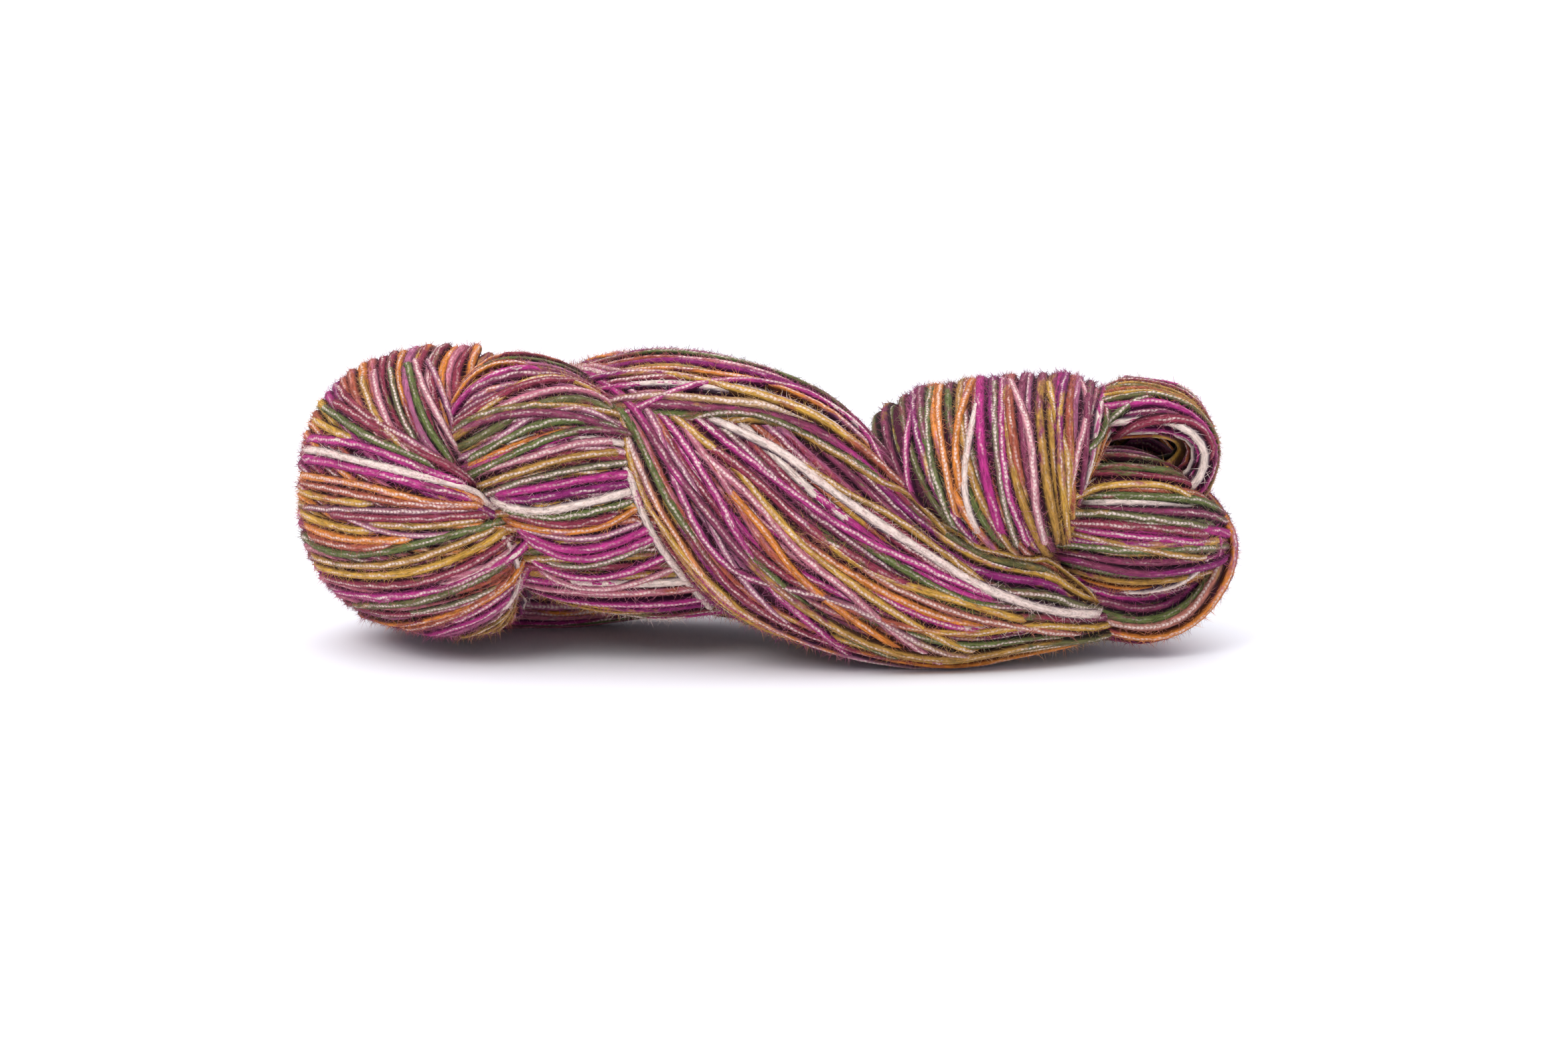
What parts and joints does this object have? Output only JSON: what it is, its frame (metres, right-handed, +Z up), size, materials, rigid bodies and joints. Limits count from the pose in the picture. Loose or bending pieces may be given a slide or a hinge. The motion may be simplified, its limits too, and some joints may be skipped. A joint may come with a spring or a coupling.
{
  "type": "yarn hank",
  "caption": "Hank of soft hand-dyed yarn, twisted into a rope of plies, its end tucked through a collar of strands, lying on its side.",
  "frame": {"origin": "under the middle of the hank, on the surface it lies on", "axes": "+X along the hank from its round left end to the end loop, -Y towards the viewer of the picture, +Z up"},
  "size_m": [0.27, 0.0845, 0.0879],
  "materials": {
    "yarn": "soft, fuzzy, variegated magenta, plum, olive, ochre, orange and cream"
  },
  "bodies": {
    "root": {"hank": "yarn"}
  },
  "joints": []
}
